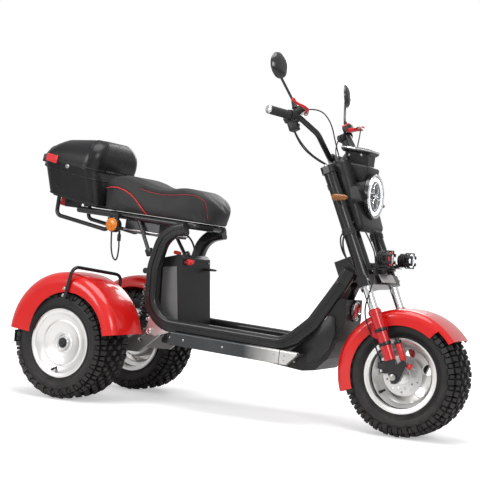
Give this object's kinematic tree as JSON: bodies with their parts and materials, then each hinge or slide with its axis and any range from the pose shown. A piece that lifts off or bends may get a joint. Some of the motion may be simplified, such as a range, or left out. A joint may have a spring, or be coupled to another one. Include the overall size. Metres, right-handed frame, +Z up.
{
  "type": "electric tricycle",
  "caption": "Electric tricycle with a raked front fork, twin-loop step-through frame, long saddle, hub-motor rear wheels on trailing arms and a lidded top case.",
  "frame": {"origin": "middle of the footprint, on the floor the wheels stand on", "axes": "+X forward, +Y the vehicle's left, +Z up"},
  "size_m": [1.9066, 0.7936, 1.3937],
  "materials": {
    "frame_paint": "satin black paint",
    "red_paint": "gloss red",
    "red_metal": "gloss red",
    "polished_alloy": "polished",
    "chrome": "polished",
    "steel": "brushed",
    "tyre": "matt tread",
    "seat_cover": "grained black cover",
    "black_plastic": "textured black",
    "rubber": "matt",
    "gunmetal": "satin grey",
    "amber": "clear amber",
    "red_lens": "clear red",
    "clear_lens": "clear",
    "battery_grey": "satin grey"
  },
  "bodies": {
    "frame": {"frame_loop_left": "frame_paint", "frame_loop_right": "frame_paint", "head_tube": "frame_paint", "seat_rails": "frame_paint", "under_seat_box": "black_plastic", "footboard": "steel", "side_rails": "gunmetal", "belly_cover": "black_plastic", "horn": "chrome", "seat": "seat_cover", "battery_case": "battery_grey", "battery_lead": "rubber", "arm_pivot": "frame_paint", "trailing_arms": "steel", "shock_crossbar": "frame_paint", "rear_shocks": "frame_paint", "rear_fenders": "red_paint", "fender_hoops": "frame_paint", "case_rack": "frame_paint", "case_base": "black_plastic", "tail_light": "red_lens", "rear_signals": "black_plastic"},
    "steering": {"upper_clamp": "frame_paint", "lower_clamp": "frame_paint", "fork_stanchions": "chrome", "fork_shrouds": "black_plastic", "fork_sliders": "red_metal", "axle_brackets": "frame_paint", "front_axle": "steel", "brake_caliper": "steel", "front_fender": "red_paint", "headlamp_shell": "black_plastic", "headlamp_lens": "clear_lens", "dash": "black_plastic", "handlebar": "frame_paint", "grips": "rubber", "hand_controls": "black_plastic", "mirrors": "black_plastic", "front_signals": "amber", "lamp_bracket": "frame_paint", "spot_lamps": "black_plastic"},
    "front_wheel": {"front_rim": "polished_alloy", "front_tyre": "tyre", "brake_disc": "steel"},
    "rear_wheel_left": {"rear_rim_left": "polished_alloy", "rear_tyre_left": "tyre"},
    "rear_wheel_right": {"rear_rim_right": "polished_alloy", "rear_tyre_right": "tyre"},
    "case_lid": {"case_lid": "black_plastic"}
  },
  "joints": [
    {"name": "steering", "type": "hinge", "parent": "frame", "child": "steering", "pos_m": [0.45705, 0, 0.76624], "axis": [-0.3907, 0, 0.9205], "range_deg": [-35, 35]},
    {"name": "front_wheel_spin", "type": "hinge", "parent": "steering", "child": "front_wheel", "pos_m": [0.72462, 0, 0.228], "axis": [0, 1, 0], "continuous": true},
    {"name": "rear_wheel_left_spin", "type": "hinge", "parent": "frame", "child": "rear_wheel_left", "pos_m": [-0.63538, 0.265, 0.228], "axis": [0, 1, 0], "continuous": true},
    {"name": "rear_wheel_right_spin", "type": "hinge", "parent": "frame", "child": "rear_wheel_right", "pos_m": [-0.63538, -0.265, 0.228], "axis": [0, 1, 0], "continuous": true},
    {"name": "case_lid_hinge", "type": "hinge", "parent": "frame", "child": "case_lid", "pos_m": [-0.64945, 0, 0.95304], "axis": [0, 1, 0], "range_deg": [0, 80]}
  ]
}
